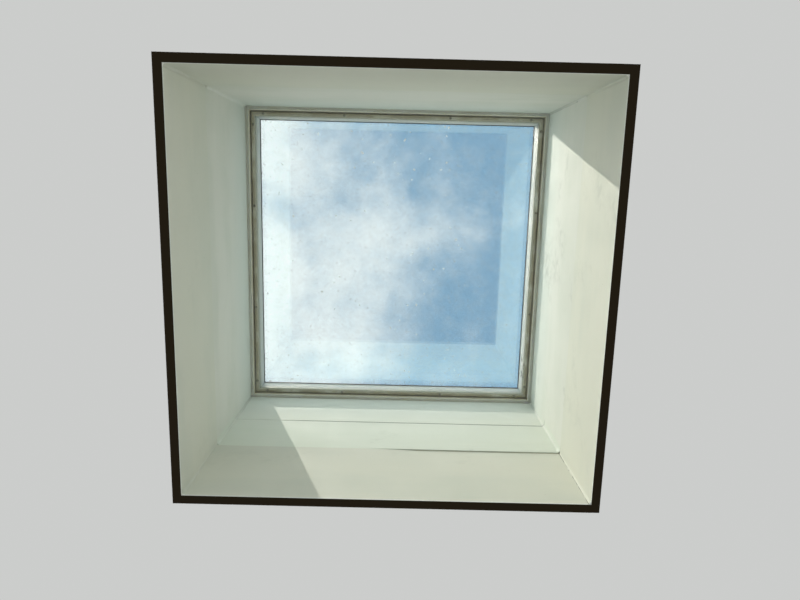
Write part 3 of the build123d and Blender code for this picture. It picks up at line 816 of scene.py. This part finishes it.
# The gaskets are black rubber with a bloom of dust. The inner one carries the glass, the outer one keeps
# the cladding off it, small blocks centre the glass in the frame, and washers seal the cladding's screws.
rubber_black = (0.014, 0.016, 0.018)
rubber_dust = (0.110, 0.115, 0.110)
rubber, rubber_shader = new_material("black rubber", rubber_black, 0.62)
rubber_cloud = cloud(rubber, 40, detail=5, roughness=0.6)
feed(
    rubber,
    rubber_shader,
    Base_Color=blend(rubber, ramp(rubber, rubber_cloud, 0.45, 0.8, 0.0, 0.7), rubber_black, rubber_dust),
    Roughness=ramp(rubber, rubber_cloud, 0.3, 0.7, 0.5, 0.75),
    Normal=relief(rubber, cloud(rubber, 1500, detail=2), 0.04 * millimetre),
)
for gasket in ("inner_gasket", "outer_gasket", "setting_blocks", "sealing_washers"):
    finished(gasket, rubber)


# The glazing is two panes of clear float glass with ground edges, coated to keep heat in, so that they
# mirror the well. The outer face has a film of dust, the marks of dried drops and a little grit.
glass_clear = (0.965, 0.985, 0.980)
mirror_tint = (0.78, 0.94, 1.0, 1.0)
coated_index = 2.2
pane_passes = (0.955, 0.972, 0.968)
dust_pale = (0.700, 0.720, 0.700)
grit_dark = (0.100, 0.100, 0.080)


def float_glass(name, dust_amount, grit_amount):
    """Clear glass with a share of pale dust and dark grit on it."""
    coating = {"Transmission_Weight": 1.0, "IOR": coated_index, "Specular_Tint": mirror_tint}
    material, shader = new_material(name, glass_clear, 0.0, **coating)
    film = ramp(material, cloud(material, 48, detail=6, roughness=0.75), 0.38, 0.72)
    marks = ramp(material, cloud(material, 120, detail=2), 0.68, 0.74)
    grit = ramp(material, cloud(material, 230, detail=1), 0.81, 0.84)
    flecks = ramp(material, cloud(material, 95, place(material, shift=(0.4, 0.9, 0.2)), 1), 0.765, 0.79)
    flecks = product(material, flecks, ramp(material, axes(material)[0], 0.10, 0.17, 1.0, 0.1))
    dirt_tone = blend(material, grit, dust_pale, grit_dark)
    lit_side = node(material, "BsdfDiffuse", {"Color": dirt_tone})
    far_side = node(material, "BsdfTranslucent", {"Color": dirt_tone})
    dirt = node(material, "MixShader", {0: 0.5, 1: lit_side.outputs[0], 2: far_side.outputs[0]})
    haze_share = product(material, film, dust_amount)
    haze_share = maths(material, "ADD", haze_share, product(material, marks, 4.0 * dust_amount))
    bits = maths(material, "MAXIMUM", product(material, grit, grit_amount), product(material, flecks, 0.95))
    share = maths(material, "MAXIMUM", haze_share, bits)
    dusty = node(material, "MixShader", {0: share, 1: shader.outputs[0], 2: dirt.outputs[0]})
    path = node(material, "LightPath").outputs
    open_ray = maths(material, "MAXIMUM", path["Is Shadow Ray"], path["Is Diffuse Ray"])
    clear = node(material, "BsdfTransparent", {"Color": (*pane_passes, 1)})
    lit = node(material, "MixShader", {0: open_ray, 1: dusty.outputs[0], 2: clear.outputs[0]})
    surface = material.node_tree.nodes["Material Output"].inputs["Surface"]
    material.node_tree.links.new(lit.outputs[0], surface)
    return material


outer_glass = float_glass("outer float glass", 0.065, 0.65)
inner_glass = float_glass("inner float glass", 0.015, 0.3)
for pane, glass in (("inner_pane", inner_glass), ("outer_pane", outer_glass)):
    sheet_glass = shown(merged(pane), f"{pane}_glass", glass, "glass", pane)
    soften(sheet_glass, 0.5 * millimetre, 1)


# The panes are held apart by a bent aluminium bar filled with drying beads. Black butyl seals the bar to
# the glass, and a grey sealant fills the gap outside it. Aluminium angles key the cladding's corners.
aluminium_light = (0.640, 0.650, 0.660)
aluminium_dark = (0.460, 0.470, 0.480)
mill, mill_shader = new_material("mill-finish aluminium", aluminium_light, 0.35, Metallic=1.0)
rolled = cloud(mill, 300, place(mill, (1, 1, 0.2)), 3)
pore_cells = {"Vector": place(mill), "Scale": 450.0, "Randomness": 0.15}
pores = node(mill, "TexVoronoi", pore_cells).outputs["Distance"]
feed(
    mill,
    mill_shader,
    Base_Color=blend(mill, rolled, aluminium_dark, aluminium_light),
    Roughness=ramp(mill, rolled, 0.3, 0.7, 0.28, 0.45),
    Normal=relief(mill, ramp(mill, pores, 0.1, 0.25), 0.2 * millimetre),
)
bead_tan = (0.560, 0.500, 0.400)
bead_dark = (0.460, 0.400, 0.310)
bead_light = (0.640, 0.580, 0.480)
beads, beads_shader = new_material("drying beads", bead_tan, 0.8)
bead_cells = node(beads, "TexVoronoi", {"Vector": place(beads), "Scale": 700.0})
bead_shade = node(beads, "SeparateXYZ", {0: bead_cells.outputs["Color"]}).outputs[0]
feed(
    beads,
    beads_shader,
    Base_Color=blend(beads, bead_shade, bead_dark, bead_light),
    Normal=relief(beads, bead_cells.outputs["Distance"], -0.8 * millimetre),
)
butyl_black = (0.007, 0.007, 0.008)
butyl_grey = (0.020, 0.020, 0.021)
butyl, butyl_shader = new_material("black butyl", butyl_black, 0.35)
butyl_cloud = cloud(butyl, 120, detail=3)
feed(
    butyl,
    butyl_shader,
    Base_Color=blend(butyl, butyl_cloud, butyl_black, butyl_grey),
    Roughness=ramp(butyl, butyl_cloud, 0.3, 0.7, 0.28, 0.5),
    Normal=relief(butyl, butyl_cloud, 0.3 * millimetre),
)
seal_dark = (0.020, 0.022, 0.024)
seal_grey = (0.050, 0.052, 0.055)
edge_seal, edge_seal_shader = new_material("grey edge sealant", seal_dark, 0.5)
edge_cloud = cloud(edge_seal, 90, detail=4)
feed(
    edge_seal,
    edge_seal_shader,
    Base_Color=blend(edge_seal, edge_cloud, seal_dark, seal_grey),
    Roughness=ramp(edge_seal, edge_cloud, 0.3, 0.7, 0.4, 0.62),
    Normal=relief(edge_seal, edge_cloud, 0.4 * millimetre),
)
for part, finish in (
    ("spacer_bar", mill),
    ("corner_keys", mill),
    ("desiccant", beads),
    ("primary_seal", butyl),
    ("secondary_seal", edge_seal),
):
    finished(part, finish)


# The cladding is four lengths of folded aluminium with a dark grey coat, mitred and keyed at the corners.
# Its top is chalky and dusty from the weather, and fine scratches have taken off a little of the coat.
coat_grey = (0.036, 0.037, 0.036)
coat_chalk = (0.085, 0.086, 0.083)
coat_dust = (0.200, 0.200, 0.190)
scratch_metal = (0.300, 0.300, 0.295)
coat, coat_shader = new_material("coated aluminium", coat_grey, 0.45)
chalk = ramp(coat, cloud(coat, 11, detail=6, roughness=0.62), 0.38, 0.78)
coat_tone = blend(coat, chalk, coat_grey, coat_chalk)
dust_spots = ramp(coat, cloud(coat, 420, detail=2), 0.60, 0.75)
coat_tone = blend(coat, product(coat, dust_spots, chalk, 0.3), coat_tone, coat_dust)
scratches = ramp(coat, cloud(coat, 34, place(coat, (1, 9, 9), turn=(0.3, 0.4, 0.8)), 6, 0.7), 0.72, 0.76)
coat_tone = blend(coat, product(coat, scratches, 0.5), coat_tone, scratch_metal)
feed(
    coat,
    coat_shader,
    Base_Color=coat_tone,
    Roughness=ramp(coat, chalk, 0, 1, 0.34, 0.62),
    Normal=relief(coat, cloud(coat, 1100, detail=1), 0.05 * millimetre),
)
for side in ("left", "right", "front", "back"):
    cover = merged(f"cladding_{side}")
    cover = shown(cover, f"cladding_length_{side}", coat, "cladding", f"cladding_{side}")
    soften(cover, fold_ease)


# Hex-head screws of zinc-plated steel with rubber washers go through the cladding's skirt and the frame's
# side into the curb, and hold both down.
fixing_screws = repeated("curb_fixing_screws", hex_head(4.4 * millimetre, 2.75 * millimetre))
fixing_screws = shown(fixing_screws, "cladding_hex_screws", zinc, "zinc_screw", "curb_fixing_screws")
smooth_by_angle(fixing_screws)


# The floor is a plain pale sheet that the part stands on. It has an opening the size of the well, so that
# the well can be looked into from below.
floor_pale = (0.440, 0.440, 0.436)
floor_cloudy = (0.425, 0.425, 0.421)
underside_pale = (0.60, 0.61, 0.60, 1)
floor_reach = 6.0
opening = -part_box("lining_left")[0].x - 0.2 * millimetre
ground, ground_shader = new_material("pale floor", floor_pale, 0.8)
feed(ground, ground_shader, Base_Color=blend(ground, cloud(ground, 1.5), floor_pale, floor_cloudy))
underside = node(ground, "Emission", {"Color": underside_pale, "Strength": 1.0})
facing_down = node(ground, "NewGeometry").outputs["Backfacing"]
seen_below = product(ground, facing_down, node(ground, "LightPath").outputs["Is Camera Ray"])
both = node(ground, "MixShader", {0: seen_below, 1: ground_shader.outputs[0], 2: underside.outputs[0]})
ground.node_tree.links.new(both.outputs[0], ground.node_tree.nodes["Material Output"].inputs["Surface"])
sheet_builder = bmesh.new()
bmesh.ops.create_grid(sheet_builder, x_segments=1, y_segments=1, size=opening)
opening_faces = list(sheet_builder.faces)
grown = bmesh.ops.extrude_edge_only(sheet_builder, edges=list(sheet_builder.edges))["geom"]
outer = [vertex for vertex in grown if isinstance(vertex, bmesh.types.BMVert)]
bmesh.ops.scale(sheet_builder, vec=(floor_reach / opening, floor_reach / opening, 1), verts=outer)
bmesh.ops.delete(sheet_builder, geom=opening_faces, context="FACES_ONLY")
bmesh.ops.recalc_face_normals(sheet_builder, faces=sheet_builder.faces)
if sheet_builder.faces[:][0].normal.z < 0:
    bmesh.ops.reverse_faces(sheet_builder, faces=sheet_builder.faces)
floor_mesh = bpy.data.meshes.new("floor")
sheet_builder.to_mesh(floor_mesh)
sheet_builder.free()
floor_mesh.materials.append(ground)
floor = bpy.data.objects.new("floor", floor_mesh)
bpy.context.scene.collection.objects.link(floor)


# The world is plain soft light, a little weaker from below. The camera sees a pale surround, what is glossy
# mirrors it from above only, and straight through the glass it turns from soft white to blue at the right.
pale = (0.80, 0.81, 0.80)
mirror_dark = (0.10, 0.10, 0.09)
light_below = (0.46, 0.48, 0.45)
light_far = (0.65, 0.755, 0.80)
light_near = (1.26, 1.46, 1.54)
glow_white = (1.24, 1.47, 1.55)
glow_blue = (0.265, 0.565, 0.88)
near_direction = (-0.75, -0.95, 0.0)
blue_direction = (1.0, -0.25, 0.0)
world = bpy.data.worlds.new("studio")
bpy.context.scene.world = world
world.use_nodes = True
background = world.node_tree.nodes["Background"]
direction = node(world, "TexCoord").outputs["Generated"]
sight = node(world, "SeparateXYZ", {0: direction}).outputs


def facing(towards):
    """How far the line of sight points this way."""
    return node(world, "VectorMath", {0: direction, 1: towards}, operation="DOT_PRODUCT").outputs["Value"]


from_above = blend(world, ramp(world, facing(near_direction), -1.0, 1.0), light_far, light_near)
soft_light = blend(world, ramp(world, sight[2], -0.25, 0.35), light_below, from_above)
veil = maths(world, "SUBTRACT", cloud(world, 5, direction, 5, 0.6), 0.5)
haze = maths(world, "ADD", facing(blue_direction), product(world, veil, 0.9))
glow = blend(world, ramp(world, haze, -0.27, 0.15), glow_white, glow_blue)
beyond = blend(world, ramp(world, sight[2], 0.02, 0.12), pale, glow)
path = node(world, "LightPath").outputs
surround = blend(world, path["Is Camera Ray"], soft_light, pale)
surround = blend(world, path["Is Transmission Ray"], surround, beyond)
mirrored = blend(world, ramp(world, sight[2], -0.3, 0.0), mirror_dark, pale)
mirror_ray = product(world, path["Is Glossy Ray"], maths(world, "GREATER_THAN", path["Glossy Depth"], 0.5))
world.node_tree.links.new(blend(world, mirror_ray, surround, mirrored), background.inputs["Color"])


# One lamp stands high at the left and front. Its light is warm and nearly parallel, so the frame's edges
# throw clear lines of shade down the walls of the well.
lamp_travel = Vector((0.391, 0.267, -1.0))
lamp_data = bpy.data.lights.new("key lamp", "SUN")
lamp_data.energy = 3.05
lamp_data.angle = radians(0.5)
lamp_data.color = (1.0, 0.925, 0.84)
lamp = bpy.data.objects.new("key lamp", lamp_data)
lamp.rotation_euler = lamp_travel.to_track_quat("-Z", "Y").to_euler()
bpy.context.scene.collection.objects.link(lamp)


# The camera looks up the well from below. Its place, its two axes and its lens give the photograph's view,
# with the lens's length worked out from the width of the picture in pixels.
photo_width = 800
sensor_width = 36.0
focal_pixels = 610.16
camera_place = Vector((8.3, -146.5, -789.0)) * millimetre
image_right = Vector((0.999694, -0.024750, 0.000199))
image_down = Vector((0.024361, 0.982504, -0.184641))
camera_data = bpy.data.cameras.new("camera")
camera_data.sensor_width = sensor_width
camera_data.lens = focal_pixels / photo_width * sensor_width
camera_data.clip_start = 0.01
camera = bpy.data.objects.new("camera", camera_data)
image_back = image_right.cross(-image_down)
camera_turn = Matrix((image_right, -image_down, image_back)).transposed()
camera.matrix_world = Matrix.Translation(camera_place) @ camera_turn.to_4x4()
bpy.context.scene.collection.objects.link(camera)
bpy.context.scene.camera = camera
bpy.context.scene.view_settings.view_transform = "Standard"
